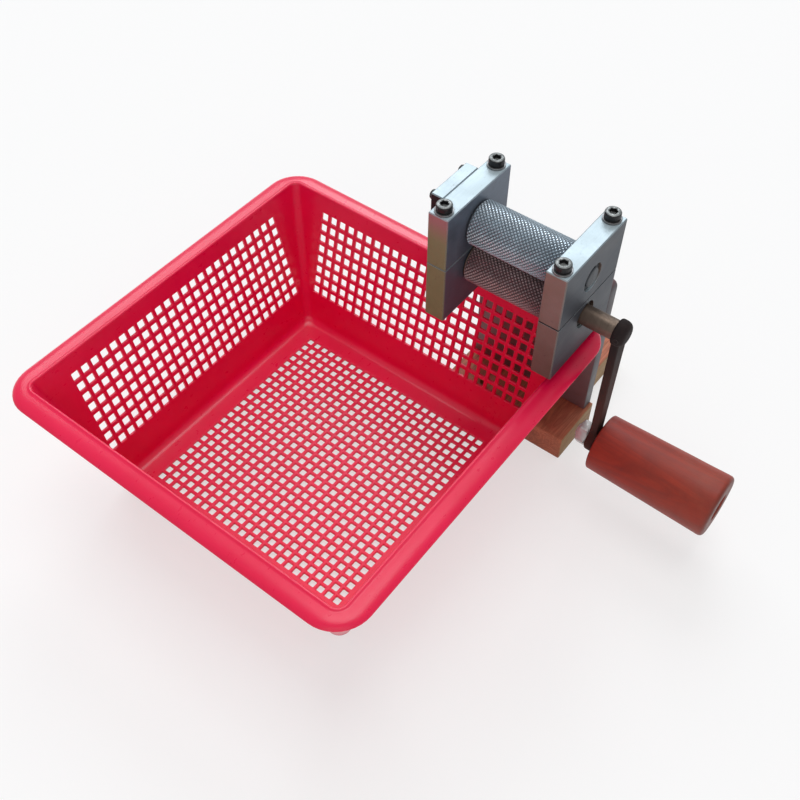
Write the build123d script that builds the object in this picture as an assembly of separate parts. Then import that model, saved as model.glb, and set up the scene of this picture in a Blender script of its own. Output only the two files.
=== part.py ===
from build123d import *
import os
from math import acos, cos, pi, radians, sin, tan

# Hand-cranked pea sheller: two geared knurled rollers in split bearing blocks,
# carried by a back plate on a wooden base, with a perforated catch basket.
# Millimetres. +X points to the crank, +Y to the back, +Z up.
# The origin is the centre of the base board's underside.

# Fits and gaps
running_gap = 0.05        # radial, journal in its bush
seat_gap = 0.02           # radial, bush in its bore and pin in its hole
screw_gap = 0.1           # radial, screw in its hole
grip_gap = 0.1            # radial, grip on its pin
end_gap = 0.4             # axial, at the ends of rollers, gears and grip
tip_gap = 1.0             # axial, below a screw's tip

# Base board
base_length = 90.0
base_thickness = 18.0
base_corner_radius = 3.0
base_top_edge = 0.8
bench_hole_radius = 2.75
bench_hole_spacing_x = 40.0
bench_hole_spacing_y = 70.0

# Catch basket
basket_size = 232.5
basket_height = 94.0
basket_corner_radius = 18.0
basket_wall = 2.0
basket_draft = 14.3       # degrees, wall from the vertical
basket_floor_edge = 7.0    # outside radius where wall and floor meet
tub_corner_radius = 7.0
basket_x = -68.5
rim_width = 9.5            # outside the wall's outer face
rim_depth = 3.5
rim_round = 1.8
foot_ring_height = 2.0
foot_ring_width = 2.5
foot_ring_setback = 0.8    # from where the floor's edge begins to round
basket_under_blocks = 4.0  # rim top to block underside
basket_to_plate = 0.3      # rim to back plate, when pushed home

# Perforation of the basket
side_hole_columns = 10
side_hole_rows = 4
side_field_margin = 1.6    # plain flat wall beside the lowest row
side_field_top = 11.5      # below the rim's top
side_field_height = 57.0
side_bar = 3.2
floor_holes = 5
floor_field_margin = 2.5   # plain floor inside the foot ring
floor_bar = 4.0

# Bearing blocks
block_thickness = 12.0
block_depth = 56.0
block_gap = 56.0           # between the inner faces
lower_block_height = 37.0
upper_block_height = 33.5
block_edge = 0.5

# Rollers and gears
roller_radius = 12.5
journal_radius = 5.5
lower_axis_height = 26.0   # above the blocks' underside
gear_module = 1.0
gear_teeth = 26
gear_width = 5.0
gear_backlash = 0.2
pressure_angle = 20.0
addendum = 0.8
dedendum = 1.15
roller_edge = 0.8
key_size = 3.0

# Bushes
bush_radius = 8.0
bush_length = 10.5

# Gear cover
cover_thickness = 7.5
cover_face = 1.3
cover_wall = 1.3
cover_end = 4.1            # above and below the gears
gear_tip_gap = 0.4
cover_screw_radius = 1.5
cover_screw_inset = 3.2
cover_screw_head_radius = 2.7
cover_screw_head_height = 1.8
cover_screw_depth = 6.0

# Clamp screws on the blocks
clamp_screw_radius = 2.5
clamp_screw_inset = 5.2
clamp_screw_depth = 15.0   # into the lower block
cap_head_radius = 4.25
cap_head_height = 5.0
cap_socket_radius = 2.3
cap_socket_depth = 2.6
washer_radius = 5.0
washer_thickness = 1.0

# Back plate and foot angle
plate_side_margin = 2.0    # beyond the blocks' outer faces
plate_thickness = 8.0
plate_overlap = 22.0       # up behind the lower blocks
plate_corner = 5.0
plate_front_y = -17.0
block_bolt_radius = 2.5
block_bolt_depth = 14.0
block_bolt_heights = (5.0, 14.0)
hex_head_radius = 4.6
hex_head_height = 3.5
angle_setback = 4.0        # inside the plate's edges
angle_leg = 30.0
angle_thickness = 4.0
angle_inner_radius = 3.0
angle_bolt_spacing = 44.0
angle_bolt_height = 17.0
wood_screw_radius = 2.2
wood_screw_head_radius = 4.5
wood_screw_head_height = 2.4
wood_screw_depth = 13.0
wood_screw_spacing = 28.0
wood_screw_count = 3

# Crank
crank_throw = 87.4
arm_inner_x = 58.2
arm_thickness = 5.5
arm_width_top = 11.0
arm_width_bottom = 9.0
hub_radius = 7.2
hub_length = 7.0
hub_round = 2.5
eye_radius = 8.0
spigot_radius = 4.0
cross_pin_radius = 1.5

# Grip and its pin
grip_length = 73.0
grip_inner_radius = 16.4
grip_outer_radius = 18.6
grip_inner_edge = 1.0
grip_outer_round = 4.0
grip_washer_radius = 9.5
grip_washer_thickness = 1.0
pin_radius = 5.0
pin_stud_radius = 4.0
pin_head_radius = 7.5
pin_head_height = 3.0
pin_recess_depth = 5.0
pin_stud_end = 1.5         # beyond the nut
pin_edge = 0.6
grip_nut_radius = 7.5      # to its corners
grip_nut_height = 6.5

# Places worked out from the sizes above
base_top = base_thickness
block_bottom = basket_height + basket_under_blocks
parting_z = block_bottom + lower_block_height
block_top = parting_z + upper_block_height
roller_y = plate_front_y - block_depth / 2
lower_z = block_bottom + lower_axis_height
pitch_radius = gear_module * gear_teeth / 2
upper_z = lower_z + 2 * pitch_radius
block_inner_x = block_gap / 2
block_outer_x = block_inner_x + block_thickness
plate_width = 2 * (block_outer_x + plate_side_margin)
base_width = plate_width
angle_length = plate_width - 2 * angle_setback
block_mid_x = block_inner_x + block_thickness / 2
basket_y = plate_front_y - basket_to_plate - basket_size / 2
cover_outer_x = -block_outer_x - cover_thickness
gear_inner_x = -block_outer_x - end_gap
gear_outer_x = gear_inner_x - gear_width
journal_end_x = gear_outer_x
grip_axis_z = lower_z - crank_throw
arm_outer_x = arm_inner_x + arm_thickness
hub_end_x = arm_inner_x + hub_length
grip_start_x = arm_outer_x + grip_washer_thickness + end_gap
grip_end_x = grip_start_x + grip_length


os.makedirs("parts", exist_ok=True)


def save(shape, node):
    export_step(shape, f"parts/{node}.step")


def block_at(x_range, y_range, z_range):
    """A box between two corners, given as a pair of values for each axis."""
    (x0, x1), (y0, y1), (z0, z1) = x_range, y_range, z_range
    centre = ((x0 + x1) / 2, (y0 + y1) / 2, (z0 + z1) / 2)
    return Pos(*centre) * Box(abs(x1 - x0), abs(y1 - y0), abs(z1 - z0))


def rod_x(radius, x0, x1, y, z):
    """A round bar along X from x0 to x1."""
    return Pos((x0 + x1) / 2, y, z) * Rot(0, 90, 0) * Cylinder(radius, abs(x1 - x0))


def rod_y(radius, y0, y1, x, z):
    """A round bar along Y from y0 to y1."""
    return Pos(x, (y0 + y1) / 2, z) * Rot(90, 0, 0) * Cylinder(radius, abs(y1 - y0))


def rod_z(radius, z0, z1, x, y):
    """A round bar along Z from z0 to z1."""
    return Pos(x, y, (z0 + z1) / 2) * Cylinder(radius, abs(z1 - z0))


def hex_y(radius, y0, y1, x, z):
    """A hexagonal bar along Y from y0 to y1; the radius is to its corners."""
    outline = Plane(origin=(x, y0, z), z_dir=(0, 1, 0)) * RegularPolygon(radius, 6)
    return extrude(outline, y1 - y0)


def hex_x(radius, x0, x1, y, z):
    """A hexagonal bar along X from x0 to x1; the radius is to its corners."""
    outline = Plane(origin=(x0, y, z), z_dir=(1, 0, 0)) * RegularPolygon(radius, 6)
    return extrude(outline, x1 - x0)


# ---- Base board ---------------------------------------------------------

def bench_hole_places():
    for x in (-bench_hole_spacing_x / 2, bench_hole_spacing_x / 2):
        for y in (-bench_hole_spacing_y / 2, bench_hole_spacing_y / 2):
            yield x, y


def wood_screw_places():
    y = plate_front_y + plate_thickness + angle_thickness + (angle_leg - angle_thickness) / 2
    first = -wood_screw_spacing * (wood_screw_count - 1) / 2
    for turn in range(wood_screw_count):
        yield first + turn * wood_screw_spacing, y


def make_base_board():
    board = Pos(0, 0, base_thickness / 2) * Box(base_width, base_length, base_thickness)
    board = fillet(board.edges().filter_by(Axis.Z), base_corner_radius)
    board = chamfer(board.faces().sort_by(Axis.Z)[-1].edges(), base_top_edge)
    for x, y in bench_hole_places():
        board -= rod_z(bench_hole_radius, 0, base_top, x, y)
    for x, y in wood_screw_places():
        board -= rod_z(wood_screw_radius + screw_gap, base_top - wood_screw_depth, base_top, x, y)
    return board


# ---- Bearing blocks -----------------------------------------------------

def clamp_screw_places(side):
    for y in (-1, 1):
        yield side * block_mid_x, roller_y + y * (block_depth / 2 - clamp_screw_inset)


def cover_screw_places():
    half_width = cover_width() / 2 - cover_screw_inset
    low, high = cover_heights()
    for y in (roller_y - half_width, roller_y + half_width):
        for z in (low + cover_screw_inset, high - cover_screw_inset):
            yield y, z


def make_block(side, z0, z1, axis_z):
    """One bearing block, with its bore, clamp screw holes and eased edges."""
    block = block_at(
        (side * block_inner_x, side * block_outer_x),
        (roller_y - block_depth / 2, roller_y + block_depth / 2),
        (z0, z1),
    )
    block = chamfer(block.edges(), block_edge)
    block -= rod_x(bush_radius + seat_gap, side * block_inner_x, side * block_outer_x, roller_y, axis_z)
    bottom = max(z0, parting_z - clamp_screw_depth)
    for x, y in clamp_screw_places(side):
        block -= rod_z(clamp_screw_radius + screw_gap, bottom, z1, x, y)
    if side < 0:
        for y, z in cover_screw_places():
            if z0 < z < z1:
                hole = (cover_screw_radius + screw_gap, -block_outer_x, -block_outer_x + cover_screw_depth)
                block -= rod_x(*hole, y, z)
    return block


def make_lower_block(side):
    block = make_block(side, block_bottom, parting_z, lower_z)
    for height in block_bolt_heights:
        place = (side * block_mid_x, block_bottom + height)
        block -= rod_y(block_bolt_radius + screw_gap, plate_front_y - block_bolt_depth, plate_front_y, *place)
    return block


def make_upper_block(side):
    return make_block(side, parting_z, block_top, upper_z)


def make_bush(side, axis_z):
    """A plain bronze bush, flush inside and set back from the outer face."""
    x0 = side * block_inner_x
    x1 = side * (block_inner_x + bush_length)
    bush = rod_x(bush_radius, x0, x1, roller_y, axis_z)
    return bush - rod_x(journal_radius + running_gap, x0, x1, roller_y, axis_z)


def make_cap_screw(x, y):
    """A socket cap screw that clamps an upper block down on its lower one."""
    head_z = block_top + washer_thickness
    head = rod_z(cap_head_radius, head_z, head_z + cap_head_height, x, y)
    socket = Pos(x, y, head_z + cap_head_height - cap_socket_depth) * RegularPolygon(cap_socket_radius, 6)
    head -= extrude(socket, cap_socket_depth)
    return head + rod_z(clamp_screw_radius, parting_z - clamp_screw_depth + tip_gap, head_z, x, y)


def make_clamp_washer(x, y):
    ring = rod_z(washer_radius, block_top, block_top + washer_thickness, x, y)
    return ring - rod_z(clamp_screw_radius + screw_gap, block_top, block_top + washer_thickness, x, y)


# ---- Back plate and foot ------------------------------------------------

def block_bolt_places():
    for side in (-1, 1):
        for height in block_bolt_heights:
            yield side * block_mid_x, block_bottom + height


def angle_bolt_places():
    for side in (-1, 1):
        yield side * angle_bolt_spacing / 2, base_top + angle_bolt_height


def make_back_plate():
    top = block_bottom + plate_overlap
    back = plate_front_y + plate_thickness
    plate = block_at((-plate_width / 2, plate_width / 2), (plate_front_y, back), (base_top, top))
    upper = plate.edges().filter_by(Axis.Y).sort_by(Axis.Z)[-2:]
    plate = fillet(upper, plate_corner)
    for x, z in [*block_bolt_places(), *angle_bolt_places()]:
        plate -= rod_y(block_bolt_radius + screw_gap, plate_front_y, back, x, z)
    return plate


def make_foot_angle():
    """A steel angle behind the back plate, bolted to it and screwed to the base."""
    front = plate_front_y + plate_thickness
    half = angle_length / 2
    leg = block_at((-half, half), (front, front + angle_thickness), (base_top, base_top + angle_leg))
    foot = block_at((-half, half), (front, front + angle_leg), (base_top, base_top + angle_thickness))
    angle = leg + foot
    inner = angle.edges().filter_by(Axis.X).sort_by_distance(
        (0, front + angle_thickness, base_top + angle_thickness))[0]
    angle = fillet(inner, angle_inner_radius)
    for x, z in angle_bolt_places():
        angle -= rod_y(block_bolt_radius + screw_gap, front, front + angle_thickness, x, z)
    for x, y in wood_screw_places():
        angle -= rod_z(wood_screw_radius + screw_gap, base_top, base_top + angle_thickness, x, y)
    return angle


def make_hex_bolt(x, z, seat_y, tip_y):
    """A hexagon bolt along Y, its head on the +Y side of seat_y."""
    head = hex_y(hex_head_radius, seat_y, seat_y + hex_head_height, x, z)
    return head + rod_y(block_bolt_radius, tip_y, seat_y, x, z)


def make_wood_screw(x, y):
    seat = base_top + angle_thickness
    tip = base_top - wood_screw_depth + tip_gap
    head = rod_z(wood_screw_head_radius, seat, seat + wood_screw_head_height, x, y)
    return head + rod_z(wood_screw_radius, tip, seat, x, y)


# ---- Gears, cover and rollers -------------------------------------------

def involute(angle):
    return tan(angle) - angle


def tooth_half_angle(radius):
    """Half the angle that one tooth fills at a radius, from its involute flank."""
    pressure = radians(pressure_angle)
    at_pitch = pi / (2 * gear_teeth) - gear_backlash / (4 * pitch_radius)
    base_radius = pitch_radius * cos(pressure)
    here = acos(min(1.0, base_radius / radius))
    return at_pitch + involute(pressure) - involute(here)


def gear_outline(first_tooth_angle):
    """Corner points of a spur gear: root, pitch and tip on each flank."""
    root = pitch_radius - gear_module * dedendum
    tip = pitch_radius + gear_module * addendum
    flank = (root, pitch_radius, tip)
    points = []
    for tooth in range(gear_teeth):
        middle = first_tooth_angle + tooth * 2 * pi / gear_teeth
        for radius in flank:
            angle = middle - tooth_half_angle(radius)
            points.append((radius * cos(angle), radius * sin(angle)))
        for radius in reversed(flank):
            angle = middle + tooth_half_angle(radius)
            points.append((radius * cos(angle), radius * sin(angle)))
    return points


def key_box(axis_z, gap):
    """The key's space on top of a journal, half in it and half in the gear."""
    half = key_size / 2 + gap
    middle = axis_z + journal_radius
    return block_at((gear_outer_x, gear_inner_x), (roller_y - half, roller_y + half),
                    (middle - half, middle + half))


def make_gear(axis_z, first_tooth_angle):
    outline = Polyline(*gear_outline(first_tooth_angle), close=True)
    side = Plane(origin=(gear_inner_x, roller_y, axis_z), x_dir=(0, 1, 0), z_dir=(-1, 0, 0))
    gear = extrude(side * make_face(outline), gear_width)
    gear -= rod_x(journal_radius + seat_gap, gear_inner_x, gear_outer_x, roller_y, axis_z)
    return gear - key_box(axis_z, seat_gap)


def make_key(axis_z):
    return key_box(axis_z, 0)


def cover_width():
    return 2 * (pitch_radius + gear_module * addendum + gear_tip_gap + cover_wall)


def cover_heights():
    reach = pitch_radius + gear_module * addendum + cover_end
    return lower_z - reach, block_top


def make_gear_cover():
    """A block milled out for both gears, screwed to the left blocks."""
    low, high = cover_heights()
    half = cover_width() / 2
    cover = block_at((-block_outer_x, cover_outer_x), (roller_y - half, roller_y + half), (low, high))
    cover = chamfer(cover.edges(), block_edge)
    cavity_x = cover_outer_x + cover_face
    cavity_radius = pitch_radius + gear_module * addendum + gear_tip_gap
    for axis_z in (lower_z, upper_z):
        cover -= rod_x(cavity_radius, -block_outer_x, cavity_x, roller_y, axis_z)
    cover -= block_at((-block_outer_x, cavity_x), (roller_y - cavity_radius, roller_y + cavity_radius),
                      (lower_z, upper_z))
    for y, z in cover_screw_places():
        cover -= rod_x(cover_screw_radius + screw_gap, -block_outer_x, cover_outer_x, y, z)
    return cover


def make_cover_screw(y, z):
    head = rod_x(cover_screw_head_radius, cover_outer_x, cover_outer_x - cover_screw_head_height, y, z)
    tip_x = -block_outer_x + cover_screw_depth - tip_gap
    return head + rod_x(cover_screw_radius, cover_outer_x, tip_x, y, z)


def make_roller_body(axis_z):
    """The roller and its gear-side journal, turned from one bar, with its key seat."""
    half = block_inner_x - end_gap
    body = rod_x(roller_radius, -half, half, roller_y, axis_z)
    body = chamfer(body.edges(), roller_edge)
    body += rod_x(journal_radius, journal_end_x, -half, roller_y, axis_z)
    return body - key_box(axis_z, seat_gap)


def make_lower_roller():
    """The driven roller: its right journal runs on as the crank shaft."""
    body = make_roller_body(lower_z)
    body += rod_x(journal_radius, block_inner_x - end_gap, arm_inner_x, roller_y, lower_z)
    body += rod_x(spigot_radius, arm_inner_x, hub_end_x, roller_y, lower_z)
    return body - cross_pin_rod(cross_pin_radius + seat_gap)


def make_upper_roller():
    body = make_roller_body(upper_z)
    return body + rod_x(journal_radius, block_inner_x - end_gap, block_outer_x, roller_y, upper_z)


# ---- Crank and grip -----------------------------------------------------

def cross_pin_rod(radius):
    x = (arm_inner_x + hub_end_x) / 2
    return rod_y(radius, roller_y - hub_radius, roller_y + hub_radius, x, lower_z)


def make_crank_arm():
    """A flat bar that hangs from a hub on the shaft to the eye of the grip's pin."""
    bar_plane = Plane(origin=(arm_inner_x, roller_y, lower_z), x_dir=(0, 1, 0), z_dir=(1, 0, 0))
    outline = Polyline(
        (-arm_width_top / 2, 0),
        (arm_width_top / 2, 0),
        (arm_width_bottom / 2, -crank_throw),
        (-arm_width_bottom / 2, -crank_throw),
        close=True,
    )
    bar = extrude(bar_plane * make_face(outline), arm_thickness)
    bar += rod_x(eye_radius, arm_inner_x, arm_outer_x, roller_y, grip_axis_z)
    hub = rod_x(hub_radius, arm_inner_x, hub_end_x, roller_y, lower_z)
    hub = fillet(hub.edges().sort_by(Axis.X)[-1], hub_round)
    arm = bar + hub
    arm -= rod_x(spigot_radius + seat_gap, arm_inner_x, hub_end_x, roller_y, lower_z)
    arm -= rod_x(pin_stud_radius + seat_gap, arm_inner_x, arm_outer_x, roller_y, grip_axis_z)
    return arm - cross_pin_rod(cross_pin_radius + seat_gap)


def make_cross_pin():
    return cross_pin_rod(cross_pin_radius)


def make_grip():
    """A turned wooden grip, thicker at its outer end, with a recess for the pin's head."""
    half_profile = Polyline(
        (0, grip_start_x),
        (grip_inner_radius, grip_start_x),
        (grip_outer_radius, grip_end_x),
        (0, grip_end_x),
        close=True,
    )
    turning_plane = Plane(origin=(0, roller_y, grip_axis_z), x_dir=(0, 0, 1), z_dir=(0, 1, 0))
    grip = revolve(turning_plane * make_face(half_profile), Axis((0, roller_y, grip_axis_z), (1, 0, 0)))
    rims = grip.edges().filter_by(GeomType.CIRCLE).sort_by(Axis.X)
    grip = chamfer(rims[0], grip_inner_edge)
    rims = grip.edges().filter_by(GeomType.CIRCLE).sort_by(Axis.X)
    grip = fillet(rims[-1], grip_outer_round)
    grip -= rod_x(pin_radius + grip_gap, grip_start_x, grip_end_x, roller_y, grip_axis_z)
    recess_radius = pin_head_radius + end_gap
    return grip - rod_x(recess_radius, grip_end_x - pin_recess_depth, grip_end_x, roller_y, grip_axis_z)


def make_grip_pin():
    """The grip's axle: a headed pin, shouldered at the arm, with a stud for the nut behind it."""
    head_x = grip_end_x - pin_recess_depth + end_gap
    pin = rod_x(pin_head_radius, head_x, head_x + pin_head_height, roller_y, grip_axis_z)
    pin = chamfer(pin.edges().sort_by(Axis.X)[-1], pin_edge)
    pin += rod_x(pin_radius, arm_outer_x, head_x, roller_y, grip_axis_z)
    stud_x = arm_inner_x - grip_nut_height - pin_stud_end
    stud = rod_x(pin_stud_radius, stud_x, arm_outer_x, roller_y, grip_axis_z)
    return pin + chamfer(stud.edges().sort_by(Axis.X)[0], pin_edge)


def make_grip_nut():
    nut = hex_x(grip_nut_radius, arm_inner_x - grip_nut_height, arm_inner_x, roller_y, grip_axis_z)
    return nut - rod_x(pin_stud_radius + seat_gap, arm_inner_x - grip_nut_height, arm_inner_x,
                       roller_y, grip_axis_z)


def make_grip_washer():
    x1 = arm_outer_x + grip_washer_thickness
    ring = rod_x(grip_washer_radius, arm_outer_x, x1, roller_y, grip_axis_z)
    return ring - rod_x(pin_radius + screw_gap, arm_outer_x, x1, roller_y, grip_axis_z)


# ---- Catch basket -------------------------------------------------------

def basket_section(z, inset, corner):
    """A rounded square at a height, set in from the rim's outer edge."""
    size = basket_size - 2 * inset
    return Pos(basket_x, basket_y, z) * RectangleRounded(size, size, corner)


def wall_inset(z):
    """How far the wall's outer face lies inside the rim's outer edge."""
    return rim_width + (basket_height - z) * tan(radians(basket_draft))


def basket_form(thickness):
    """The tapered tub, moved inwards by a wall thickness, with rounded corners and floor edge."""
    floor_z = foot_ring_height + thickness
    top = basket_size / 2 - rim_width - thickness
    bottom = basket_size / 2 - wall_inset(floor_z) - thickness
    outline = Polyline((-bottom, floor_z), (bottom, floor_z), (top, basket_height), (-top, basket_height),
                       close=True)
    middle = (basket_x, basket_y, 0)
    front = Plane(origin=middle, x_dir=(1, 0, 0), z_dir=(0, -1, 0)) * make_face(outline)
    side = Plane(origin=middle, x_dir=(0, 1, 0), z_dir=(1, 0, 0)) * make_face(outline)
    form = extrude(front, basket_size / 2, both=True) & extrude(side, basket_size / 2, both=True)
    corners = form.edges().filter_by(lambda edge: edge.bounding_box().size.Z > basket_height / 2)
    form = fillet(corners, tub_corner_radius - thickness)
    return fillet(form.faces().sort_by(Axis.Z)[0].edges(), basket_floor_edge - thickness)


def make_rim():
    """The wide rounded rim, turned down at its edge and hollow underneath."""
    low = basket_height - rim_depth
    rim = extrude(basket_section(low, 0, basket_corner_radius), rim_depth)
    rim = fillet(rim.faces().sort_by(Axis.Z)[-1].edges(), rim_round)
    skirt = basket_section(low, basket_wall, basket_corner_radius - basket_wall)
    return rim - extrude(skirt, rim_depth - basket_wall)


def side_hole_cutters(turn):
    """Bars along Y, or along X after a quarter turn, one for each pair of opposite holes."""
    lowest = basket_height - side_field_top - side_field_height
    flat_half = basket_size / 2 - wall_inset(lowest) - tub_corner_radius
    side_field_width = 2 * (flat_half - side_field_margin)
    width_pitch = (side_field_width + side_bar) / side_hole_columns
    height_pitch = (side_field_height + side_bar) / side_hole_rows
    bar = Box(width_pitch - side_bar, basket_size, height_pitch - side_bar)
    cutters = []
    for column in range(side_hole_columns):
        for row in range(side_hole_rows):
            across = (column - (side_hole_columns - 1) / 2) * width_pitch
            z = basket_height - side_field_top + side_bar / 2 - (row + 0.5) * height_pitch
            cutters.append(Pos(basket_x, basket_y, z) * Rot(0, 0, turn) * Pos(across, 0, 0) * bar)
    return cutters


def foot_ring_inset():
    return wall_inset(0) + basket_floor_edge + foot_ring_setback


def floor_hole_cutters():
    floor_field = basket_size - 2 * (foot_ring_inset() + foot_ring_width + floor_field_margin)
    pitch = (floor_field + floor_bar) / floor_holes
    side = pitch - floor_bar
    middle = Pos(basket_x, basket_y, foot_ring_height)
    places = GridLocations(pitch, pitch, floor_holes, floor_holes)
    return [middle * place * Box(side, side, 3 * basket_wall) for place in places]


def make_basket():
    hollow = basket_form(basket_wall)
    tub = basket_form(0) + make_rim() - hollow
    outer = basket_section(0, foot_ring_inset(), tub_corner_radius)
    inner = basket_section(0, foot_ring_inset() + foot_ring_width, tub_corner_radius - foot_ring_width)
    ring = extrude(outer, foot_ring_height) - extrude(inner, foot_ring_height)
    tub += ring
    for cutters in (side_hole_cutters(0), side_hole_cutters(90), floor_hole_cutters()):
        tub -= cutters
    return tub


# ---- All nodes ----------------------------------------------------------

save(make_base_board(), "base_board")
save(make_back_plate(), "back_plate")
save(make_foot_angle(), "foot_angle")

for side, name in ((-1, "left"), (1, "right")):
    save(make_lower_block(side), f"lower_block_{name}")
    save(make_upper_block(side), f"upper_block_{name}")
    save(make_bush(side, lower_z), f"lower_bush_{name}")
    save(make_bush(side, upper_z), f"upper_bush_{name}")

clamp_places = [*clamp_screw_places(-1), *clamp_screw_places(1)]
save(Compound([make_cap_screw(x, y) for x, y in clamp_places]), "clamp_screws")
save(Compound([make_clamp_washer(x, y) for x, y in clamp_places]), "clamp_washers")

plate_back_y = plate_front_y + plate_thickness
block_bolt_tip_y = plate_front_y - block_bolt_depth + tip_gap
angle_bolt_seat_y = plate_back_y + angle_thickness
block_bolts = [make_hex_bolt(x, z, plate_back_y, block_bolt_tip_y) for x, z in block_bolt_places()]
angle_bolts = [make_hex_bolt(x, z, angle_bolt_seat_y, plate_front_y) for x, z in angle_bolt_places()]
save(Compound(block_bolts), "block_bolts")
save(Compound(angle_bolts), "angle_bolts")
save(Compound([make_wood_screw(x, y) for x, y in wood_screw_places()]), "wood_screws")

save(make_gear_cover(), "gear_cover")
save(Compound([make_cover_screw(y, z) for y, z in cover_screw_places()]), "cover_screws")

# A tooth of the lower gear points up into a gap of the upper one.
save(make_lower_roller(), "lower_roller")
save(make_gear(lower_z, pi / 2), "lower_gear")
save(make_key(lower_z), "lower_gear_key")
save(make_upper_roller(), "upper_roller")
save(make_gear(upper_z, -pi / 2 + pi / gear_teeth), "upper_gear")
save(make_key(upper_z), "upper_gear_key")

save(make_crank_arm(), "crank_arm")
save(make_cross_pin(), "crank_cross_pin")
save(make_grip(), "grip")
save(make_grip_pin(), "grip_pin")
save(make_grip_washer(), "grip_washer")
save(make_grip_nut(), "grip_nut")

save(make_basket(), "basket")
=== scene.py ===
from math import cos, pi, radians, sin, tan

import bmesh
import bpy
from mathutils import Matrix, Vector, noise


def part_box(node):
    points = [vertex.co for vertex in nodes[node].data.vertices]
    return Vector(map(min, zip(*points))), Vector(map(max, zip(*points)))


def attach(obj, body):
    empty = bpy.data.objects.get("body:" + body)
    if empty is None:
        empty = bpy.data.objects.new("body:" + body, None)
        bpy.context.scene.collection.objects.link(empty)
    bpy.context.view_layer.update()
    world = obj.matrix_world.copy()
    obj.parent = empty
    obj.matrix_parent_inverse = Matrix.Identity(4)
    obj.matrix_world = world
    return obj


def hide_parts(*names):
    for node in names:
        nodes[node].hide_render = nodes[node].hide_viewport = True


# A hand-cranked pea sheller: knurled rollers in split bearing blocks on a wooden
# base, with its red catch basket under them. The row's frame, in metres.

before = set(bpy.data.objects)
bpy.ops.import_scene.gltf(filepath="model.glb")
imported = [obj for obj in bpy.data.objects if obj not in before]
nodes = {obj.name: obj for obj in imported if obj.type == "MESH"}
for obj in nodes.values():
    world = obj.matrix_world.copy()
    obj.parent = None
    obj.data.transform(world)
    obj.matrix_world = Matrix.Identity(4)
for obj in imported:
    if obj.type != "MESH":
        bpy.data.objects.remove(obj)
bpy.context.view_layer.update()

MM = 0.001


# ---- Places taken from the fixed frame -----------------------------------

def middle_of(node):
    low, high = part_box(node)
    return (low + high) / 2


def new_object(name, data):
    """An object linked into the scene."""
    made = bpy.data.objects.new(name, data)
    bpy.context.scene.collection.objects.link(made)
    return made


def islands_of(node):
    """The corners of each separate solid in a group node, as (low, high) pairs."""
    work = bmesh.new()
    work.from_mesh(nodes[node].data)
    bmesh.ops.remove_doubles(work, verts=work.verts, dist=0.01 * MM)
    waiting = set(work.verts)
    boxes = []
    while waiting:
        front = [waiting.pop()]
        found = list(front)
        while front:
            vertex = front.pop()
            for edge in vertex.link_edges:
                other = edge.other_vert(vertex)
                if other in waiting:
                    waiting.discard(other)
                    front.append(other)
                    found.append(other)
        low = Vector(min(v.co[i] for v in found) for i in range(3))
        high = Vector(max(v.co[i] for v in found) for i in range(3))
        boxes.append((low, high))
    work.free()
    return sorted(boxes, key=lambda corners: tuple(round(c, 4) for c in corners[0]))


# ---- Camera, floor and light ---------------------------------------------

CAMERA_PLACE = Vector((0.1813, -0.3853, 0.4953))
CAMERA_TILT = radians(38.92)       # from straight down
CAMERA_HEADING = radians(37.31)
CAMERA_ROLL = radians(0.27)
CAMERA_LENS = 45.39
CAMERA_SENSOR = 36.0

SKY_LEVEL = 0.48
SKY_COLOUR = (0.93, 0.97, 1.0)
BACKDROP = (0.95, 0.95, 0.95)
FLOOR_REACH = 3.0
FLOOR_GAP = 0.02 * MM              # keeps the floor clear of the pieces that stand on it
FLOOR_GLOW = 0.6                   # share of plain white in what the camera sees of the floor

# name: energy, compass heading, height and spread in degrees, colour
SUNS = {
    "overhead": (0.75, -20, 80, 34, (1.0, 0.99, 0.98)),
    "window_left": (0.45, -62, 37, 26, (0.94, 0.97, 1.0)),
    "window_right": (0.85, -29, 38, 26, (0.94, 0.97, 1.0)),
    "front_fill": (0.4, 143, 35, 50, (1.0, 0.8, 0.68)),
}


def make_camera():
    data = bpy.data.cameras.new("camera")
    data.lens = CAMERA_LENS
    data.sensor_width = CAMERA_SENSOR
    camera = new_object("camera", data)
    turn = Matrix.Rotation(CAMERA_HEADING, 4, "Z") @ Matrix.Rotation(CAMERA_TILT, 4, "X")
    camera.matrix_world = Matrix.Translation(CAMERA_PLACE) @ turn @ Matrix.Rotation(CAMERA_ROLL, 4, "Z")
    bpy.context.scene.camera = camera


def make_suns():
    for name, (energy, heading, height, spread, colour) in SUNS.items():
        data = bpy.data.lights.new(name, "SUN")
        data.energy, data.angle, data.color = energy, radians(spread), colour
        turn, climb = radians(heading), radians(height)
        away = Vector((sin(turn) * cos(climb), cos(turn) * cos(climb), sin(climb)))
        new_object(name, data).matrix_world = away.to_track_quat("Z", "Y").to_matrix().to_4x4()


def make_world():
    """An even sky that lights the object, and a pale one that the camera sees."""
    world = bpy.data.worlds.new("studio")
    bpy.context.scene.world = world
    world.use_nodes = True
    world.node_tree.nodes.clear()
    kit = Tree(world.node_tree)
    sky = kit.add("ShaderNodeBackground", {"Color": SKY_COLOUR, "Strength": SKY_LEVEL})
    seen = kit.add("ShaderNodeBackground", {"Color": BACKDROP})
    path = kit.add("ShaderNodeLightPath")
    mix = kit.add("ShaderNodeMixShader", {
        "Fac": path.outputs["Is Camera Ray"], 1: sky.outputs["Background"], 2: seen.outputs["Background"]})
    kit.add("ShaderNodeOutputWorld", {"Surface": mix.outputs["Shader"]})


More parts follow.
